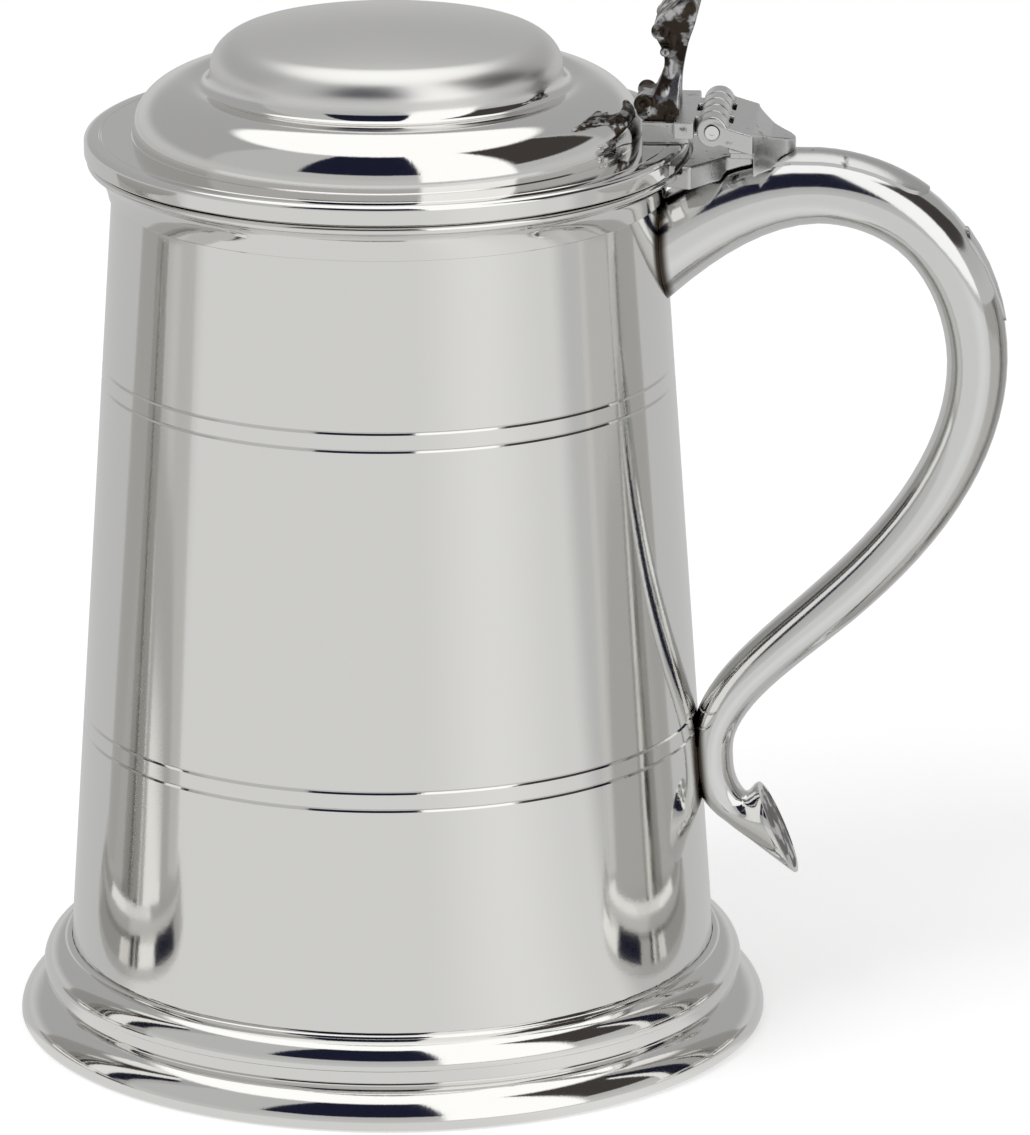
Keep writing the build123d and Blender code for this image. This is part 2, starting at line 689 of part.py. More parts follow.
def strap():
    """Raised strap along the top of the handle, from the hinge leaf to a rounded end."""
    half = STRAP_HALF
    start_x, end_x = HINGE_X + LEAF_LENGTH, HINGE_X + STRAP_END_OUT
    outline = [
        Polyline((end_x - half, half), (start_x, half), (start_x, -half), (end_x - half, -half)),
        ThreePointArc((end_x - half, -half), (end_x, 0), (end_x - half, half)),
    ]
    return Pos(0, 0, HINGE_Z + HANDLE_SHOULDER[1]) * extrude(make_face(outline), STRAP_CUT)


def tongue():
    """Raised tongue down the handle's back, tapering to a point."""
    start_z, half = HINGE_Z + TONGUE_START, TONGUE_HALF
    outline = [
        Polyline((-half, start_z - half), (0, HINGE_Z + TONGUE_END), (half, start_z - half)),
        ThreePointArc((half, start_z - half), (0, start_z), (-half, start_z - half)),
    ]
    return Pos(HINGE_X + HANDLE_CALF[0], 0, 0) * extrude(Plane.YZ * make_face(outline), STRAP_CUT)


def heel_flat():
    """Room cut from the handle where its lower bend lies flat along the drum."""
    high_z, low_z = HANDLE_ANKLE[1], DISC_CENTRE[1]
    points = [
        (0, low_z), (drum_radius(low_z) + SOLDER_GAP, low_z),
        (drum_radius(high_z) + SOLDER_GAP, high_z), (0, high_z),
    ]
    return extrude(Plane.XZ * make_face(Polyline(points, close=True)), HANDLE_WIDTH["root"], both=True)


def root_seat(envelope):
    """Part of the drum and rim that the handle's upper end meets."""
    reach = HANDLE_WIDTH["root"]
    low_z = by_hinge(HANDLE_ROOT).Z - 2 * reach
    return envelope & block(0, RIM_R + 1, -reach, reach, low_z, BRIM_Z + 1)


def handle(envelope):
    bar = handle_bar()
    bar += handle_bar(STRAP_PROUD) & strap()
    bar += handle_bar(TONGUE_PROUD) & tongue()
    bar = bar - heel_flat() - root_seat(envelope)
    return bar + terminal_flare() + terminal_disc()


def export_all(parts):
    os.makedirs("parts", exist_ok=True)
    for name, shape in parts.items():
        export_step(shape, f"parts/{name}.step")


def build():
    envelope = body_envelope()
    handle_solid = handle(envelope)
    bracket = hinge_bracket([envelope, lid_envelope(SWING_CLEARANCE), handle_solid])
    lid_leaf = lid_hinge_leaf(lid_envelope(0))
    return {
        "drum": drum(),
        "floor_disc": floor_disc(),
        "foot_moulding": foot_moulding(),
        "rim_moulding": rim_moulding(),
        "handle": handle_solid,
        "hinge_bracket": bracket,
        "handle_hinge_leaf": handle_hinge_leaf([handle_solid, bracket]),
        "hinge_pin": pin(),
        "lid_cover": lid_cover(),
        "lid_bezel": lid_bezel(),
        "lid_hinge_leaf": lid_leaf,
        "thumbpiece": thumbpiece(lid_leaf),
    }


export_all(build())
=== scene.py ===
import bpy
import math
from mathutils import Matrix, Vector


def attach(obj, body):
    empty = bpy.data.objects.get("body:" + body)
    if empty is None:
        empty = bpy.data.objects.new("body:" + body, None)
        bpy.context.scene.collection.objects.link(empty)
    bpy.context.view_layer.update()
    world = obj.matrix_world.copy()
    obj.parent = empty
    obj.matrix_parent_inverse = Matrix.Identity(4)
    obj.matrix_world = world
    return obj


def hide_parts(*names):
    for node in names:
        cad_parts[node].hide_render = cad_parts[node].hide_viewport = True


# Lidded pewter tankard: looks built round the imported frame, in metres.

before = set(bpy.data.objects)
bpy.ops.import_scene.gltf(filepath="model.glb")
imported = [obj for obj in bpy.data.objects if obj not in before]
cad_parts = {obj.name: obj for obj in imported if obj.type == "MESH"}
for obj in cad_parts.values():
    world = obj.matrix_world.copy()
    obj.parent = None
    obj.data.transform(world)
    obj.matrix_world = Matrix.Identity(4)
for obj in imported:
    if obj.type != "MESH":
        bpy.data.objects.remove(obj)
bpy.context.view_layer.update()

MM = 0.001
# Drum wall as (radius, height) in millimetres, at the foot and at the brim
DRUM_FOOT = (44.8, 11.6)
DRUM_BRIM = (37.34, 123.3)
SOLDER_GAP = 0.03
RIM_LOW_Z = 117.9

# Camera: fitted to the ellipses of the foot, the brim and the lid
CAMERA_AZIMUTH = math.radians(5.4)
CAMERA_DISTANCE = 1.2396
CAMERA_HEIGHT = 0.4377
CAMERA_PITCH = math.radians(16.78)
CAMERA_YAW = math.radians(0.80)
CAMERA_ROLL = math.radians(-0.18)
FOCAL_PX = 9353
PHOTO_HEIGHT_PX = 1135
SENSOR_MM = 36.0


def make_camera():
    """Camera of the photograph, turned by yaw, pitch and roll."""
    data = bpy.data.cameras.new("photo_camera")
    data.sensor_fit = "VERTICAL"
    data.sensor_height = SENSOR_MM
    data.lens = FOCAL_PX / PHOTO_HEIGHT_PX * SENSOR_MM
    data.clip_start = 0.05
    data.clip_end = 30
    camera = bpy.data.objects.new("photo_camera", data)
    bpy.context.scene.collection.objects.link(camera)
    heading = CAMERA_YAW - CAMERA_AZIMUTH
    forward = Vector((
        math.sin(heading) * math.cos(CAMERA_PITCH),
        math.cos(heading) * math.cos(CAMERA_PITCH),
        -math.sin(CAMERA_PITCH),
    ))
    turn = forward.to_track_quat("-Z", "Y") @ Matrix.Rotation(CAMERA_ROLL, 4, "Z").to_quaternion()
    camera.rotation_mode = "QUATERNION"
    camera.rotation_quaternion = turn
    camera.location = (
        CAMERA_DISTANCE * math.sin(CAMERA_AZIMUTH),
        -CAMERA_DISTANCE * math.cos(CAMERA_AZIMUTH),
        CAMERA_HEIGHT,
    )
    bpy.context.scene.camera = camera


make_camera()
scene = bpy.context.scene
scene.view_settings.view_transform = "Standard"


class Nodes:
    """Short way to build a node tree."""

    def __init__(self, tree):
        self.tree = tree
        tree.nodes.clear()

    def add(self, kind, **values):
        node = self.tree.nodes.new(kind)
        for name, value in values.items():
            setattr(node, name, value)
        return node

    def link(self, source, target):
        self.tree.links.new(source, target)

    def math(self, operation, first, second=None, third=None, clamp=False):
        node = self.add("ShaderNodeMath", operation=operation, use_clamp=clamp)
        for index, value in enumerate((first, second, third)):
            if value is None:
                continue
            if isinstance(value, (int, float)):
                node.inputs[index].default_value = value
            else:
                self.link(value, node.inputs[index])
        return node.outputs[0]

    def ramp(self, value, low, high):
        """0 at low and 1 at high, with a soft start and end."""
        node = self.add("ShaderNodeMapRange", interpolation_type="SMOOTHSTEP")
        self.link(value, node.inputs["Value"])
        node.inputs["From Min"].default_value = low
        node.inputs["From Max"].default_value = high
        return node.outputs["Result"]

    def between(self, value, low, high, soft):
        """1 from low to high, with edges that fade over soft to either side."""
        rise = self.ramp(value, low - soft, low + soft)
        fall = self.ramp(value, high - soft, high + soft)
        return self.math("SUBTRACT", rise, fall)

    def mix(self, mask, first, second):
        """First colour where the mask is 0, second where it is 1."""
        node = self.add("ShaderNodeMix", data_type="RGBA")
        self.link(mask, node.inputs[0])
        for socket, value in ((node.inputs[6], first), (node.inputs[7], second)):
            if isinstance(value, tuple):
                socket.default_value = (*value, 1)
            elif isinstance(value, float):
                socket.default_value = (value, value, value, 1)
            else:
                self.link(value, socket)
        return node.outputs[2]

    def reach_and_height(self):
        """Distance of the shaded point from the upright axis, and its height."""
        split = self.add("ShaderNodeSeparateXYZ")
        self.link(self.add("ShaderNodeTexCoord").outputs["Object"], split.inputs[0])
        x, y, z = split.outputs
        squares = self.math("ADD", self.math("POWER", x, 2.0), self.math("POWER", y, 2.0))
        return self.math("SQRT", squares), z


# Studio, seen from the camera's side: 0 degrees is towards the camera, + is towards the handle
LAMP_WHITE = 1.30
GLOW = {
    "floor_front": 0.80, "floor_right": 0.90, "floor_side": 0.60,
    "horizon": 0.64, "card": 0.58, "wall": 0.46,
}
WINDOW_BLUE = (0.012, 0.014, 0.034)
DOORWAY_BROWN = (0.060, 0.052, 0.050)
# Panes of the tent as (left, right, lower edge, upper edge) in degrees
DOORWAY = (62.0, 116.0, 22.0, 80.0)
WHITE_PANE = (15.0, 60.0, 3.0, 80.0)
WINDOW = (-42.0, 15.0, 23.0, 80.0)
TENT_SIDE = (-88.0, 118.0)
HORIZON = (16.0, 4.0)
OVERHEAD_TILT = 78.0
OVERHEAD_RADIUS = (34.0, 30.0)
SOFT_LEVEL = 0.8
FLOOR_GREY = 0.80
FLOOR_LIFT = 0.41


class Studio(Nodes):
    """Node tree that knows the direction it looks in, as azimuth and elevation in degrees."""

    def look(self, vector):
        split = self.add("ShaderNodeSeparateXYZ")
        self.link(vector, split.inputs[0])
        x, y, z = split.outputs
        turn = self.math("ARCTAN2", x, self.math("MULTIPLY", y, -1))
        self.azimuth = self.math("SUBTRACT", self.math("DEGREES", turn), math.degrees(CAMERA_AZIMUTH))
        self.elevation = self.math("DEGREES", self.math("ARCSINE", z))


def make_world():
    """White to the camera; to the pewter, a tent with a dark window, a doorway and a lamp above."""
    world = bpy.data.worlds.new("studio")
    scene.world = world
    world.use_nodes = True
    net = Studio(world.node_tree)
    direction = net.add("ShaderNodeTexCoord").outputs["Generated"]
    net.look(direction)
    side = net.between(net.azimuth, *TENT_SIDE, 3.0)
    room = net.mix(side, GLOW["wall"], GLOW["card"])
    low = net.ramp(net.elevation, *HORIZON)
    room = net.mix(low, room, GLOW["horizon"])
    for (left, right, bottom, top), colour in (
        (DOORWAY, DOORWAY_BROWN),
        (WHITE_PANE, (LAMP_WHITE,) * 3),
        (WINDOW, WINDOW_BLUE),
    ):
        pane = net.math(
            "MULTIPLY",
            net.between(net.azimuth, left, right, 1.5),
            net.between(net.elevation, bottom, top, 1.5),
        )
        room = net.mix(pane, room, colour)
    above = net.add("ShaderNodeVectorMath", operation="DOT_PRODUCT")
    lamp_tilt = math.radians(OVERHEAD_TILT)
    above.inputs[1].default_value = (
        -math.sin(CAMERA_AZIMUTH) * math.cos(lamp_tilt),
        math.cos(CAMERA_AZIMUTH) * math.cos(lamp_tilt),
        math.sin(lamp_tilt),
    )
    net.link(direction, above.inputs[0])
    faint, full = (math.cos(math.radians(radius)) for radius in OVERHEAD_RADIUS)
    lamp = net.ramp(above.outputs["Value"], faint, full)
    room = net.mix(lamp, room, LAMP_WHITE)
    path = net.add("ShaderNodeLightPath")
    soft = net.add("ShaderNodeBackground")
    soft.inputs["Strength"].default_value = SOFT_LEVEL
    tent = net.add("ShaderNodeBackground")
    net.link(room, tent.inputs["Color"])
    white = net.add("ShaderNodeBackground")
    white.inputs["Color"].default_value = (1, 1, 1, 1)
    glossy = net.add("ShaderNodeMixShader")
    net.link(path.outputs["Is Glossy Ray"], glossy.inputs[0])
    net.link(soft.outputs[0], glossy.inputs[1])
    net.link(tent.outputs[0], glossy.inputs[2])
    seen = net.add("ShaderNodeMixShader")
    net.link(path.outputs["Is Camera Ray"], seen.inputs[0])
    net.link(glossy.outputs[0], seen.inputs[1])
    net.link(white.outputs[0], seen.inputs[2])
    out = net.add("ShaderNodeOutputWorld")
    net.link(seen.outputs[0], out.inputs["Surface"])


def make_floor():
    """Pale floor that keeps a faint shadow; to the pewter it glows as a sheet of painted light, brighter
    towards the handle's side and dimmer at the far sides.
    """
    bpy.ops.mesh.primitive_plane_add(size=6, location=(0, 0, -0.0002))
    floor = bpy.context.object
    floor.name = "floor"
    material = bpy.data.materials.new("floor_paper")
    material.use_nodes = True
    net = Studio(material.node_tree)
    net.look(net.add("ShaderNodeTexCoord").outputs["Object"])
    # Painted light on the floor as the pewter sees it: brighter towards the handle's side, dimmer beyond the
    # sides.
    right = net.between(net.azimuth, 22.0, 52.0, 14.0)
    paper = net.mix(right, GLOW["floor_front"], GLOW["floor_right"])
    front = net.between(net.azimuth, -82.0, 72.0, 5.0)
    paper = net.mix(front, GLOW["floor_side"], paper)
    path = net.add("ShaderNodeLightPath")
    matt = net.add("ShaderNodeBsdfDiffuse")
    matt.inputs["Color"].default_value = (FLOOR_GREY, FLOOR_GREY, FLOOR_GREY, 1)
    lift = net.add("ShaderNodeEmission")
    net.link(net.math("MULTIPLY", path.outputs["Is Camera Ray"], FLOOR_LIFT), lift.inputs["Strength"])
    lifted = net.add("ShaderNodeAddShader")
    net.link(matt.outputs[0], lifted.inputs[0])
    net.link(lift.outputs[0], lifted.inputs[1])
    sheet = net.add("ShaderNodeEmission")
    net.link(paper, sheet.inputs["Color"])
    both = net.add("ShaderNodeMixShader")
    net.link(path.outputs["Is Glossy Ray"], both.inputs[0])
    net.link(lifted.outputs[0], both.inputs[1])
    net.link(sheet.outputs[0], both.inputs[2])
    out = net.add("ShaderNodeOutputMaterial")
    net.link(both.outputs[0], out.inputs["Surface"])
    floor.data.materials.append(material)


def area_light(name, place, target, size, power):
    """Rectangular light aimed at a point, which the pewter doesn't mirror."""
    data = bpy.data.lights.new(name, "AREA")
    data.shape = "RECTANGLE"
    data.size, data.size_y = size
    data.energy = power
    lamp = bpy.data.objects.new(name, data)
    lamp.location = place
    direction = Vector(target) - Vector(place)
    lamp.rotation_mode = "QUATERNION"
    lamp.rotation_quaternion = direction.to_track_quat("-Z", "Y")
    lamp.visible_glossy = False
    scene.collection.objects.link(lamp)


def deselect():
    if bpy.context.mode != "OBJECT":
        bpy.ops.object.mode_set(mode="OBJECT")
    bpy.ops.object.select_all(action="DESELECT")


def edit_all(piece):
    """Enter edit mode on one piece with all of it selected."""
    deselect()
    piece.select_set(True)
    bpy.context.view_layer.objects.active = piece
    bpy.ops.object.mode_set(mode="EDIT")
    bpy.ops.mesh.select_all(action="SELECT")


def close_up(piece, angle=30.0):
    """Merge doubles, fill what is open, turn the faces outwards and shade smooth."""
    edit_all(piece)
    bpy.ops.mesh.remove_doubles(threshold=1e-7)
    bpy.ops.mesh.fill_holes(sides=0)
    bpy.ops.mesh.select_all(action="SELECT")
    bpy.ops.mesh.normals_make_consistent(inside=False)
    bpy.ops.object.mode_set(mode="OBJECT")
    bpy.ops.object.shade_smooth_by_angle(angle=math.radians(angle))


def shade(piece, angle):
    """Shade one piece smooth, with creases sharper than angle kept."""
    deselect()
    piece.select_set(True)
    bpy.context.view_layer.objects.active = piece
    bpy.ops.object.shade_smooth_by_angle(angle=math.radians(angle))


def turned(name, profile, sides=256):
    """Spin a profile of (radius, height) points about the upright axis, as on a lathe."""
    deselect()
    radius, height = profile[0]
    bpy.ops.mesh.primitive_circle_add(vertices=sides, radius=radius, location=(0, 0, height))
    piece = bpy.context.object
    piece.name = name
    bpy.ops.object.transform_apply(location=True)
    bpy.ops.object.mode_set(mode="EDIT")
    bpy.ops.mesh.select_all(action="SELECT")
    for (r0, z0), (r1, z1) in zip(profile, profile[1:]):
        bpy.ops.mesh.extrude_region_move(TRANSFORM_OT_translate={"value": (0, 0, z1 - z0)})
        bpy.ops.transform.resize(value=(r1 / r0, r1 / r0, 1), center_override=(0, 0, z1))
    close_up(piece)
    return piece


def apply_modifiers(piece):
    """Apply every modifier of a piece, in their order."""
    deselect()
    piece.select_set(True)
    bpy.context.view_layer.objects.active = piece
    for name in [modifier.name for modifier in piece.modifiers]:
        bpy.ops.object.modifier_apply(modifier=name)


# Round reflection cards: polished drums beside the tankard, out of the camera's sight
CARD_REACH = 0.131
CARD_PROFILE = (
    (0.0490, 0.0002), (0.0490, 0.002), (0.0468, 0.005), (0.0447, 0.0055), (0.0447, 0.008),
    (0.0424, 0.0095), (0.0416, 0.012), (0.0370, 0.105),
)


def make_cards():
    """Polished round cards that only the pewter sees."""
    metal = bpy.data.materials.new("card_metal")
    metal.use_nodes = True
    shader = metal.node_tree.nodes["Principled BSDF"]
    shader.inputs["Base Color"].default_value = (0.72, 0.71, 0.69, 1)
    shader.inputs["Metallic"].default_value = 1
    shader.inputs["Roughness"].default_value = 0.06
    for name, side in (("card_left", -1), ("card_right", 1)):
        card = turned(name, CARD_PROFILE, 96)
        card.location = (
            side * CARD_REACH * math.cos(CAMERA_AZIMUTH), side * CARD_REACH * math.sin(CAMERA_AZIMUTH), 0,
        )
        card.data.materials.append(metal)
        card.visible_camera = False
        card.visible_diffuse = False
        card.visible_transmission = False
        card.visible_shadow = False


make_world()
make_floor()
area_light("key", place=(-0.9, -0.9, 1.3), target=(0, 0, 0.07), size=(0.9, 0.9), power=10)
make_cards()


def arc(centre, across, up, start, stop, steps=12):
    """Points of an elliptical arc, with angles in degrees from the outward side."""
    points = []
    for index in range(steps + 1):
        turn = math.radians(start + (stop - start) * index / steps)
        points.append((centre[0] + across * math.cos(turn), centre[1] + up * math.sin(turn)))
    return points


def sweep(first, pull_first, pull_last, last, steps=12):
    """Points of a cubic curve between two points with two pulls."""
    points = []
    for index in range(steps + 1):
        t = index / steps
        u = 1 - t
        points.append(tuple(
            u ** 3 * a + 3 * u * u * t * b + 3 * u * t * t * c + t ** 3 * d
            for a, b, c, d in zip(first, pull_first, pull_last, last)
        ))
    return points


def in_metres(points):
    """Profile points, given in millimetres, in the frame's metres."""
    return [(r * MM, z * MM) for r, z in points]


GRAIN_SCALE = 2600
SMEAR_SCALE = 45
SPOT_SCALE = 420
CAP_SATIN = 0.27
CAP_SATIN_R = 24.6
CAP_FOOT_Z = (134.2, 135.2)
SEAM_REACH = (1.5, 0.3)


def polish_group():
    """Fine grain and faint wiping marks on polished pewter."""
    group = bpy.data.node_groups.new("polish", "ShaderNodeTree")
    group.interface.new_socket("Sheen", in_out="INPUT", socket_type="NodeSocketFloat")
    group.interface.new_socket("Wear", in_out="INPUT", socket_type="NodeSocketFloat")
    group.interface.new_socket("Roughness", in_out="OUTPUT", socket_type="NodeSocketFloat")
    group.interface.new_socket("Height", in_out="OUTPUT", socket_type="NodeSocketFloat")
    net = Nodes(group)
    given = net.add("NodeGroupInput")
    place = net.add("ShaderNodeTexCoord").outputs["Object"]
    grain = net.add("ShaderNodeTexNoise")
    grain.inputs["Scale"].default_value = GRAIN_SCALE
    grain.inputs["Detail"].default_value = 2
    net.link(place, grain.inputs["Vector"])
    cloud = net.add("ShaderNodeTexNoise")
    cloud.inputs["Scale"].default_value = SMEAR_SCALE
    cloud.inputs["Detail"].default_value = 5
    net.link(place, cloud.inputs["Vector"])
    smear = net.math("MULTIPLY", net.math("SUBTRACT", cloud.outputs[0], 0.45), given.outputs["Wear"])
    rough = net.math("ADD", given.outputs["Sheen"], smear)
    rough = net.math("ADD", rough, net.math("MULTIPLY", grain.outputs[0], 0.02), clamp=True)
    out = net.add("NodeGroupOutput")
    net.link(rough, out.inputs["Roughness"])
    net.link(grain.outputs[0], out.inputs["Height"])
    return group


def tarnish_group():
    """Brown tarnish in hollows and in soft patches, from the mesh's own curvature and noise."""
    group = bpy.data.node_groups.new("tarnish", "ShaderNodeTree")
    group.interface.new_socket("Clean", in_out="INPUT", socket_type="NodeSocketColor")
    group.interface.new_socket("Dark", in_out="INPUT", socket_type="NodeSocketColor")
    group.interface.new_socket("Patches", in_out="INPUT", socket_type="NodeSocketFloat")
    group.interface.new_socket("Color", in_out="OUTPUT", socket_type="NodeSocketColor")
    group.interface.new_socket("Mask", in_out="OUTPUT", socket_type="NodeSocketFloat")
    net = Nodes(group)
    given = net.add("NodeGroupInput")
    place = net.add("ShaderNodeTexCoord").outputs["Object"]
    spots = net.add("ShaderNodeTexNoise")
    spots.inputs["Scale"].default_value = SPOT_SCALE
    spots.inputs["Detail"].default_value = 6
    net.link(place, spots.inputs["Vector"])
    hollow = net.ramp(net.add("ShaderNodeNewGeometry").outputs["Pointiness"], 0.505, 0.44)
    spread = net.math("MULTIPLY_ADD", given.outputs["Patches"], 0.22, -0.11)
    patch = net.ramp(net.math("ADD", spots.outputs[0], spread), 0.50, 0.62)
    mask = net.math("MAXIMUM", hollow, patch)
    out = net.add("NodeGroupOutput")
    net.link(net.mix(mask, given.outputs["Clean"], given.outputs["Dark"]), out.inputs["Color"])
    net.link(mask, out.inputs["Mask"])
    return group


POLISH = polish_group()
TARNISH = tarnish_group()


def near_drum(net):
    """Mask of what lies close to the drum's cone, where solder and tarnish stay."""
    reach, height = net.reach_and_height()
    lean = (DRUM_FOOT[0] - DRUM_BRIM[0]) / (DRUM_BRIM[1] - DRUM_FOOT[1])
    wall = net.math("MULTIPLY_ADD", height, -lean, (DRUM_FOOT[0] + lean * DRUM_FOOT[1]) * MM)
    faint, full = SEAM_REACH
    return net.ramp(net.math("SUBTRACT", reach, wall), faint * MM, full * MM)


def on_cap(net):
    """Mask of the lid's raised cap."""
    reach, height = net.reach_and_height()
    low, high = CAP_FOOT_Z
    raised = net.ramp(height, low * MM, high * MM)
    inside = net.ramp(reach, (CAP_SATIN_R + 0.4) * MM, (CAP_SATIN_R - 0.4) * MM)
    return net.math("MULTIPLY", inside, raised)


def polished_pewter(name, tint, sheen, wear, satin_cap=False, soldered=False):
    """Mirror pewter. A satin cap is rougher on the lid's cap, and a soldered piece is dark at the drum."""
    material = bpy.data.materials.new(name)
    material.use_nodes = True
    net = Nodes(material.node_tree)
    polish = net.add("ShaderNodeGroup", node_tree=POLISH)
    polish.inputs["Wear"].default_value = wear
    polish.inputs["Sheen"].default_value = sheen
    if satin_cap:
        satin = net.math("MULTIPLY", on_cap(net), CAP_SATIN)
        net.link(net.math("ADD", satin, sheen), polish.inputs["Sheen"])
    bump = net.add("ShaderNodeBump")
    bump.inputs["Strength"].default_value = 0.12
    bump.inputs["Distance"].default_value = 0.00002
    net.link(polish.outputs["Height"], bump.inputs["Height"])
    metal = net.add("ShaderNodeBsdfPrincipled")
    metal.inputs["Base Color"].default_value = (*tint, 1)
    if soldered:
        net.link(net.mix(near_drum(net), tint, BROWN), metal.inputs["Base Color"])
    metal.inputs["Metallic"].default_value = 1
    net.link(polish.outputs["Roughness"], metal.inputs["Roughness"])
    net.link(bump.outputs[0], metal.inputs["Normal"])
    out = net.add("ShaderNodeOutputMaterial")
    net.link(metal.outputs[0], out.inputs["Surface"])
    return material


def cast_pewter(name, clean, dark, sheen, patches):
    """Cast pewter with tarnish left in its hollows and in patches."""
    material = bpy.data.materials.new(name)
    material.use_nodes = True
    net = Nodes(material.node_tree)
    polish = net.add("ShaderNodeGroup", node_tree=POLISH)
    polish.inputs["Sheen"].default_value = sheen
    polish.inputs["Wear"].default_value = 0.3
    tarnish = net.add("ShaderNodeGroup", node_tree=TARNISH)
    tarnish.inputs["Clean"].default_value = (*clean, 1)
    tarnish.inputs["Dark"].default_value = (*dark, 1)
    tarnish.inputs["Patches"].default_value = patches
    bump = net.add("ShaderNodeBump")
    bump.inputs["Strength"].default_value = 0.35
    bump.inputs["Distance"].default_value = 0.00004
    net.link(polish.outputs["Height"], bump.inputs["Height"])
    metal = net.add("ShaderNodeBsdfPrincipled")
    metal.inputs["Metallic"].default_value = 1
    net.link(tarnish.outputs["Color"], metal.inputs["Base Color"])
    rough = net.math("ADD", polish.outputs["Roughness"], net.math("MULTIPLY", tarnish.outputs["Mask"], 0.15))
    net.link(rough, metal.inputs["Roughness"])
    net.link(bump.outputs[0], metal.inputs["Normal"])
    out = net.add("ShaderNodeOutputMaterial")
    net.link(metal.outputs[0], out.inputs["Surface"])
    return material


PEWTER = (0.76, 0.755, 0.735)
HANDLE_PEWTER = (0.70, 0.70, 0.69)
LEAF_PEWTER = (0.60, 0.60, 0.595)
CAST_PEWTER = (0.52, 0.52, 0.53)
BROWN = (0.055, 0.042, 0.032)
drum_finish = polished_pewter("pewter_drum", PEWTER, 0.055, 0.05)
lid_finish = polished_pewter("pewter_lid", PEWTER, 0.045, 0.04, satin_cap=True)
handle_finish = polished_pewter("pewter_handle", HANDLE_PEWTER, 0.10, 0.10, soldered=True)
leaf_finish = cast_pewter("pewter_leaf", LEAF_PEWTER, BROWN, 0.22, 0.0)
cast_finish = cast_pewter("pewter_cast", CAST_PEWTER, BROWN, 0.22, 0.95)
for node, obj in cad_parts.items():
    for slot in obj.material_slots:
        slot.material = drum_finish


def finish_piece(piece, material, body, *nodes):
    """Give a piece its finish and its body, and hide the nodes that it stands for."""
    piece.data.materials.clear()
    piece.data.materials.append(material)
    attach(piece, body)
    if nodes:
        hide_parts(*nodes)


# Lid in millimetres; a pair is (radius, height)
LID_EDGE_R = 41.35
LID_LIP_Z = 123.6
FLANGE_Z = 126.25
CREASE_R = 34.75
VALLEY = (25.65, 133.30)
CAP_SIDE = (24.05, 135.65)
CAP_EDGE = (20.15, 139.85)
CROWN_Z = 141.75
POLE_R = 0.15
LID_WALL = 1.2


def crown(r, top):
    """Point of the cap's shallow crown, whose middle is at top."""
    return (r, top - (CROWN_Z - CAP_EDGE[1]) * (r / CAP_EDGE[0]) ** 2)


def lid_profile():
    """Outline of the hollow lid, from the inside of its cap round the lip to the crown."""
    inside = [crown(CAP_EDGE[0] * share, CROWN_Z - LID_WALL) for share in (0.008, 0.35, 0.7, 1.0)]
    side_in = (CAP_SIDE[0] - LID_WALL, CAP_SIDE[1] - LID_WALL)
    inside += [(side_in[0] - 0.6, side_in[1] + 2.6), side_in, (side_in[0], VALLEY[1] - LID_WALL)]
    inside += arc((27.25, 126.85), 7.5 - LID_WALL, 6.6 - LID_WALL, 90, 0)
    inside += [(CREASE_R - LID_WALL, FLANGE_Z - LID_WALL), (LID_EDGE_R - 1.7, FLANGE_Z - LID_WALL)]
    outside = [(LID_EDGE_R - 1.7, LID_LIP_Z), (LID_EDGE_R - 0.3, LID_LIP_Z)]
    outside += arc((LID_EDGE_R - 0.3, LID_LIP_Z + 0.3), 0.3, 0.3, -60, 0, 4)
    outside += arc((LID_EDGE_R - 0.95, FLANGE_Z - 0.7), 0.95, 0.7, 0, 88, 12)
    outside += [(39.35, FLANGE_Z), (39.22, FLANGE_Z - 0.09), (39.08, FLANGE_Z - 0.09), (38.95, FLANGE_Z)]
    outside += [(CREASE_R + 0.12, FLANGE_Z), (CREASE_R, FLANGE_Z + 0.12), (CREASE_R, 126.85)]
    outside += arc((27.25, 126.85), 7.5, 6.6, 4, 102.3, 26)
    outside += sweep(VALLEY, (24.75, 133.2), (CAP_SIDE[0], 134.1), CAP_SIDE)[1:]
    outside += sweep(CAP_SIDE, (CAP_SIDE[0], 137.5), (22.2, 139.45), CAP_EDGE)[1:]
    outside += [crown(CAP_EDGE[0] * share, CROWN_Z) for share in (0.85, 0.7, 0.5, 0.3, 0.12, 0.008)]
    return in_metres(inside + outside)


lid = turned("lid_spun", lid_profile())
finish_piece(lid, lid_finish, "lid", "lid_cover")

# Rim moulding and foot, as (radius, height) in millimetres

def drum_radius(z):
    """Outer radius of the tapered drum at a height, in millimetres."""
    share = (z - DRUM_FOOT[1]) / (DRUM_BRIM[1] - DRUM_FOOT[1])
    return DRUM_FOOT[0] + (DRUM_BRIM[0] - DRUM_FOOT[0]) * share


def rim_profile():
    """Outline of the lip band, from its lower edge over the bead."""
    lip_r = drum_radius(RIM_LOW_Z) + SOLDER_GAP
    points = [(lip_r, RIM_LOW_Z), (lip_r + 0.3, RIM_LOW_Z), (lip_r + 0.4, RIM_LOW_Z + 0.1)]
    points += sweep((lip_r + 0.42, 118.15), (38.5, 119.9), (39.3, 121.4), (40.5, 122.15), 14)
    points += arc((40.45, 122.72), 0.55, 0.55, -75, 88, 14)
    points += [(DRUM_BRIM[0] + SOLDER_GAP, DRUM_BRIM[1] - 0.02), (lip_r, RIM_LOW_Z)]
    return in_metres(points)


rim = turned("rim_turned", rim_profile())
finish_piece(rim, drum_finish, "vessel", "rim_moulding")


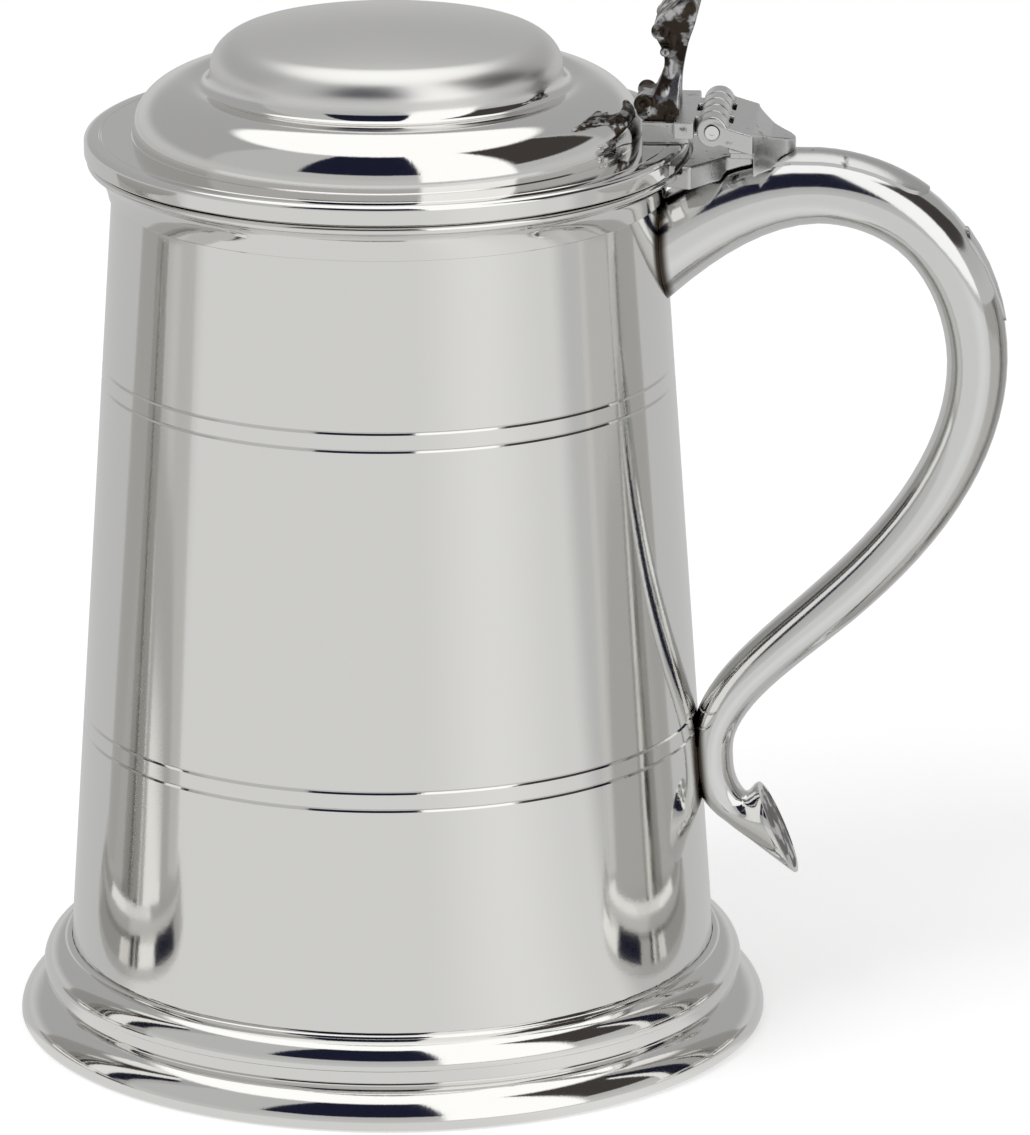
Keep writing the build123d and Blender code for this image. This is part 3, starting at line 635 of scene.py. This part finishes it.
def foot_profile():
    """Outline of the foot: standing ring, ogee, bead, and the ledge under the floor disc."""
    bore = drum_radius(DRUM_FOOT[1]) + SOLDER_GAP
    low = drum_radius(6.0) + SOLDER_GAP
    points = [(49.7, 0.0), (51.6, 0.0)]
    points += arc((51.4, 0.6), 0.6, 0.6, -70, -10, 5)
    points += arc((44.7, 0.7), 7.3, 5.0, 2, 57, 20)
    points += [(48.3, 5.0), (48.12, 5.12), (48.12, 5.3), (48.33, 5.55), (48.38, 5.8), (48.4, 7.3)]
    points += [(48.5, 7.42), (48.7, 7.5)]
    points += arc((45.2, 7.5), 3.55, 3.65, 3, 80, 20)
    points += arc((bore, 11.15), 0.9, 0.43, 5, 90, 8)
    points += [(low, 6.0), (low, 4.8), (low - 7.2, 4.8), (low - 7.2, 3.6), (low, 3.6)]
    points += sweep((low, 3.6), (46.5, 3.2), (48.6, 1.8), (49.7, 0.0))[1:]
    return in_metres(points)


foot = turned("foot_turned", foot_profile())
finish_piece(foot, drum_finish, "vessel", "foot_moulding")

# Handle: centre line in millimetres as (out, up, thickness, width), from the drum's brim to the heel
HANDLE_LINE = (
    (30.5, 104.8, 13.2, 13.2), (59.2, 119.4, 9.9, 11.4), (72.7, 114.4, 9.1, 10.8), (80.9, 95.3, 8.3, 10.2),
    (76.7, 79.1, 7.9, 9.4), (62.0, 60.85, 7.4, 8.6), (51.95, 51.75, 6.7, 8.1), (46.9, 45.8, 6.3, 7.8),
    (44.8, 40.8, 6.0, 7.5), (44.65, 37.4, 6.0, 7.4), (45.6, 33.4, 5.6, 6.9), (47.95, 30.5, 5.0, 6.4),
)
ROOT_SLOPE = 42.0
NECK_SLOPE = -36.0
HANDLE_STEPS = (10, 9, 9, 7, 8, 5, 4, 4, 3, 4, 4)
# Lower end: the stem opens into the terminal disc, as (underside, upper side, width)
TERMINAL = (
    ((48.0, 27.3), (49.55, 32.45), 7.2), ((49.9, 26.0), (49.75, 32.5), 8.2),
    ((52.5, 24.1), (50.05, 32.8), 9.7), ((54.9, 22.35), (50.35, 33.15), 10.9),
    ((55.95, 21.55), (50.55, 33.45), 11.4), ((56.55, 21.15), (50.9, 33.7), 11.6),
    ((56.77, 21.21), (51.11, 33.79), 11.6), ((56.75, 21.45), (51.25, 33.67), 11.3),
    ((56.5, 21.85), (51.33, 33.35), 10.7), ((56.2, 22.5), (51.6, 32.75), 9.5),
    ((55.4, 24.5), (52.8, 30.3), 5.4), ((54.18, 27.4), (54.09, 27.6), 0.2),
)


def spline_slopes(values, gaps, first, last):
    """Slopes of the smooth curve through values, by elimination."""
    count = len(values)
    low, mid, high, right = [0.0] * count, [1.0] * count, [0.0] * count, [0.0] * count
    right[0], right[-1] = first, last
    for i in range(1, count - 1):
        before, after = gaps[i - 1], gaps[i]
        low[i], mid[i], high[i] = after, 2 * (before + after), before
        rise, drop = (values[i + 1] - values[i]) / after, (values[i] - values[i - 1]) / before
        right[i] = 3 * (before * rise + after * drop)
    for i in range(1, count):
        share = low[i] / mid[i - 1]
        mid[i] -= share * high[i - 1]
        right[i] -= share * right[i - 1]
    slopes = [0.0] * count
    slopes[-1] = right[-1] / mid[-1]
    for i in range(count - 2, -1, -1):
        slopes[i] = (right[i] - high[i] * slopes[i + 1]) / mid[i]
    return slopes


def smooth_step(start, stop, leave, arrive, t):
    """Value and slope at share t of the cubic between two values with given slopes."""
    u = 1 - t
    value = start * (1 + 2 * t) * u ** 2 + leave * t * u ** 2
    value += stop * t * t * (3 - 2 * t) + arrive * t * t * (t - 1)
    slope = 6 * t * u * (stop - start) + leave * (1 - 4 * t + 3 * t * t) + arrive * (3 * t * t - 2 * t)
    return value, slope


def handle_stations(proud=0.0):
    """Sections along the handle as (underside, upper side, width), in millimetres."""
    line = HANDLE_LINE
    gaps = [math.dist(a[:2], b[:2]) for a, b in zip(line, line[1:])]
    root, neck = math.radians(ROOT_SLOPE), math.radians(NECK_SLOPE)
    slope_x = spline_slopes([p[0] for p in line], gaps, math.cos(root), math.cos(neck))
    slope_z = spline_slopes([p[1] for p in line], gaps, math.sin(root), math.sin(neck))
    stations = []
    for i, (gap, steps) in enumerate(zip(gaps, HANDLE_STEPS)):
        last_piece = i == len(gaps) - 1
        for step in range(steps + (1 if last_piece else 0)):
            t = step / steps
            place, along = [], []
            for axis, slopes in ((0, slope_x), (1, slope_z)):
                ends = line[i][axis], line[i + 1][axis]
                point, slope = smooth_step(*ends, slopes[i] * gap, slopes[i + 1] * gap, t)
                place.append(point)
                along.append(slope)
            size = math.hypot(*along)
            out = (-along[1] / size, along[0] / size)
            thick, width = (line[i][k] + t * (line[i + 1][k] - line[i][k]) for k in (2, 3))
            half = thick / 2 + proud
            under = (place[0] - out[0] * half, place[1] - out[1] * half)
            upper = (place[0] + out[0] * half, place[1] + out[1] * half)
            stations.append((under, upper, width + 2 * proud))
    return stations


def lofted(name, stations, sides=48):
    """Extrude an oval along the handle's sections, turning and scaling it at each, and close both ends."""
    deselect()
    for index, (under, upper, width) in enumerate(stations):
        run, rise = upper[0] - under[0], upper[1] - under[1]
        thickness, slope = math.hypot(run, rise), math.atan2(rise, run)
        centre = Vector(((under[0] + upper[0]) / 2 * MM, 0, (under[1] + upper[1]) / 2 * MM))
        if index == 0:
            bpy.ops.mesh.primitive_circle_add(
                vertices=sides, radius=thickness / 2 * MM, location=centre, rotation=(0, -slope, 0))
            piece = bpy.context.object
            piece.name = name
            bpy.ops.object.transform_apply(location=True, rotation=True)
            bpy.ops.object.mode_set(mode="EDIT")
            bpy.ops.mesh.select_all(action="SELECT")
            last_width = thickness
        else:
            bpy.ops.mesh.extrude_region_move(TRANSFORM_OT_translate={"value": centre - last_centre})
            swing = math.remainder(slope - last_slope, 2 * math.pi)
            bpy.ops.transform.rotate(value=swing, orient_axis="Y", center_override=centre)
            growth = thickness / last_thickness
            bpy.ops.transform.resize(value=(growth, 1, growth), center_override=centre)
        bpy.ops.transform.resize(value=(1, width / last_width, 1), center_override=centre)
        last_centre, last_slope, last_thickness, last_width = centre, slope, thickness, width
    close_up(piece, 50)
    return piece


def carve(piece, tool, operation):
    """Cut a piece with a tool, or keep what both share, and put the tool away."""
    cut = piece.modifiers.new("cut", "BOOLEAN")
    cut.operation = operation
    cut.solver = "EXACT"
    cut.object = tool
    apply_modifiers(piece)
    bpy.data.objects.remove(tool)


CORE_LOW_Z = 12.0


def drum_core():
    """Filled drum and rim, the shape that the handle's ends are filed to."""
    points = [(POLE_R, CORE_LOW_Z)]
    points += [(drum_radius(z) + SOLDER_GAP, z) for z in (CORE_LOW_Z, RIM_LOW_Z)]
    points += [(38.2, 117.95), (38.9, 120.7), (40.5, 122.15), (41.0, 122.7), (40.5, 123.28)]
    points += [(POLE_R, DRUM_BRIM[1])]
    return turned("drum_core", in_metres(points), 512)


handle = lofted("handle_bar", handle_stations() + list(TERMINAL))
carve(handle, drum_core(), "DIFFERENCE")
shade(handle, 50)
finish_piece(handle, handle_finish, "vessel", "handle")
# The terminal disc's face takes the cast finish. Its brown patches there are partly cast tarnish and partly
# painted reflection, darkening the face in place of the dark surroundings it mirrors.
handle.data.materials.append(cast_finish)
DISC_MIDDLE = Vector((53.94, 0, 27.5)) * MM
DISC_TILT = math.radians(24.2)
DISC_FACING = Vector((math.cos(DISC_TILT), 0, math.sin(DISC_TILT)))
DISC_FACE_R = 5.9
for face in handle.data.polygons:
    away = face.center - DISC_MIDDLE
    facing_out = face.normal.dot(DISC_FACING) > 0.9
    if facing_out and away.length < DISC_FACE_R * MM and away.dot(DISC_FACING) > -0.2 * MM:
        face.material_index = 1

STRAP_HALF = 3.5
STRAP_RUN = (50.5, 74.2)
STRAP_FLOOR_Z = 115.5
TONGUE_HALF = 1.9
TONGUE_TOP_Z = 114.2
TONGUE_TIP_Z = 101.0
STRAP_PROUD = 0.42
TONGUE_PROUD = 0.24
TOOL_REACH = 20


def select_where(piece, wanted):
    """Select the vertices for which wanted holds, in edit mode."""
    bpy.ops.mesh.select_all(action="DESELECT")
    bpy.ops.object.mode_set(mode="OBJECT")
    for vertex in piece.data.vertices:
        vertex.select = wanted(vertex.co)
    bpy.ops.object.mode_set(mode="EDIT")


def strap_tool():
    """Upright prism, square at the hinge and round at the far end."""
    end_x = (STRAP_RUN[1] - STRAP_HALF) * MM
    deselect()
    bpy.ops.mesh.primitive_circle_add(
        vertices=48, radius=STRAP_HALF * MM, fill_type="NGON", location=(end_x, 0, STRAP_FLOOR_Z * MM))
    tool = bpy.context.object
    bpy.ops.object.transform_apply(location=True)
    bpy.ops.object.mode_set(mode="EDIT")
    select_where(tool, lambda co: co.x < end_x - 1e-6)
    bpy.ops.transform.resize(value=(0.02, 1, 1), center_override=(end_x, 0, 0))
    bpy.ops.transform.translate(value=((STRAP_RUN[0] - STRAP_RUN[1] + STRAP_HALF) * MM, 0, 0))
    bpy.ops.mesh.select_all(action="SELECT")
    bpy.ops.mesh.extrude_region_move(TRANSFORM_OT_translate={"value": (0, 0, TOOL_REACH * MM)})
    close_up(tool)
    return tool


def tongue_tool():
    """Level prism whose section is a long drop, round above and drawn out below."""
    middle_z = (TONGUE_TOP_Z - TONGUE_HALF) * MM
    deselect()
    bpy.ops.mesh.primitive_circle_add(
        vertices=48, radius=TONGUE_HALF * MM, fill_type="NGON",
        location=(76.7 * MM, 0, middle_z), rotation=(0, math.radians(90), 0))
    tool = bpy.context.object
    bpy.ops.object.transform_apply(location=True, rotation=True)
    bpy.ops.object.mode_set(mode="EDIT")
    select_where(tool, lambda co: co.z < middle_z - 1e-6)
    stretch = (TONGUE_TOP_Z - TONGUE_HALF - TONGUE_TIP_Z) / TONGUE_HALF
    bpy.ops.transform.resize(value=(1, 1, stretch), center_override=(0, 0, middle_z))
    bpy.ops.mesh.select_all(action="SELECT")
    bpy.ops.mesh.extrude_region_move(TRANSFORM_OT_translate={"value": (TOOL_REACH * MM, 0, 0)})
    close_up(tool)
    return tool


for name, proud, tool in (
    ("handle_strap", STRAP_PROUD, strap_tool()),
    ("handle_tongue", TONGUE_PROUD, tongue_tool()),
):
    relief = lofted(name, handle_stations(proud))
    carve(relief, tool, "INTERSECT")
    shade(relief, 35)
    finish_piece(relief, leaf_finish, "vessel")


def worn_copy(node, name, grain, shaping=None):
    """A node's shape, with any shaping done first, and edges rounded as on a filed casting."""
    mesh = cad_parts[node].data.copy()
    piece = bpy.data.objects.new(name, mesh)
    scene.collection.objects.link(piece)
    edit_all(piece)
    bpy.ops.mesh.remove_doubles(threshold=1e-6)
    bpy.ops.object.mode_set(mode="OBJECT")
    if shaping:
        shaping(piece)
    skin = piece.modifiers.new("skin", "REMESH")
    skin.mode = "VOXEL"
    skin.voxel_size = grain
    soften = piece.modifiers.new("soften", "SMOOTH")
    soften.factor = 0.5
    soften.iterations = SMOOTH_ROUNDS
    apply_modifiers(piece)
    bpy.ops.object.shade_smooth()
    return piece


# Thumbpiece ornament in millimetres, as (out, up, half length along the hinge, radius, height)
SCROLLS = ((37.75, 142.2, 5.7, 1.05, 1.25), (35.35, 131.7, 4.3, 1.1, 0.95), (38.3, 139.0, 4.4, 0.6, 0.6))
BEADS = (
    (39.4, 141.2, 4.6, 0.75, 1.9), (39.3, 144.0, 5.6, 0.55, 1.7), (38.9, 136.2, 2.4, 0.5, 2.2),
    (38.2, 132.6, 3.4, 0.6, 1.6), (39.2, 129.9, 4.4, 1.1, 0.8), (40.6, 145.6, 4.9, 0.5, 1.3),
)


def thumb_relief(piece):
    """Scroll ends, beads and ribs joined to the plain thumbpiece."""
    parts = [piece]
    for out, up, half, radius, height in SCROLLS:
        deselect()
        for side in (-1, 1):
            bpy.ops.mesh.primitive_torus_add(
                major_segments=32, minor_segments=12,
                major_radius=radius * 0.8 * MM, minor_radius=radius * 0.42 * MM,
                location=(out * MM, side * half * MM, up * MM), rotation=(math.radians(90), 0, 0))
            parts.append(bpy.context.object)
        bpy.ops.mesh.primitive_cylinder_add(
            vertices=32, radius=radius * MM, depth=2 * half * MM,
            location=(out * MM, 0, up * MM), rotation=(math.radians(90), 0, 0))
        bpy.context.object.scale.y = height / radius
        parts.append(bpy.context.object)
    for out, up, half, radius, height in BEADS:
        for side in (-1, 1):
            bpy.ops.mesh.primitive_uv_sphere_add(
                segments=24, ring_count=12, radius=1, location=(out * MM, side * half * MM, up * MM),
                scale=(radius * MM, radius * MM, height * MM))
            parts.append(bpy.context.object)
    deselect()
    for part in parts:
        part.select_set(True)
    bpy.context.view_layer.objects.active = piece
    bpy.ops.object.transform_apply(location=True, rotation=True, scale=True)
    bpy.ops.object.join()


def leaf_trim(piece):
    """File off the leaf's lower corners, so that it sits on the handle's back."""
    for side in (-1, 1):
        deselect()
        bpy.ops.mesh.primitive_cube_add(
            size=1, location=(54.5 * MM, side * 6.5 * MM, 119.0 * MM),
            rotation=(0, math.radians(-4), 0), scale=(14 * MM, 6 * MM, 7.6 * MM))
        tool = bpy.context.object
        bpy.ops.object.transform_apply(location=True, rotation=True, scale=True)
        carve(piece, tool, "DIFFERENCE")


THUMB_GRAIN = 0.15 * MM
HINGE_GRAIN = 0.16 * MM
SMOOTH_ROUNDS = 5
thumb = worn_copy("thumbpiece", "thumb_scroll", THUMB_GRAIN, thumb_relief)
finish_piece(thumb, cast_finish, "lid", "thumbpiece")
for node, name, material, body, shaping in (
    ("handle_hinge_leaf", "handle_leaf_worn", leaf_finish, "vessel", leaf_trim),
    ("hinge_bracket", "bracket_worn", leaf_finish, "vessel", None),
    ("lid_hinge_leaf", "lid_leaf_worn", leaf_finish, "lid", None),
):
    finish_piece(worn_copy(node, name, HINGE_GRAIN, shaping), material, body, node)
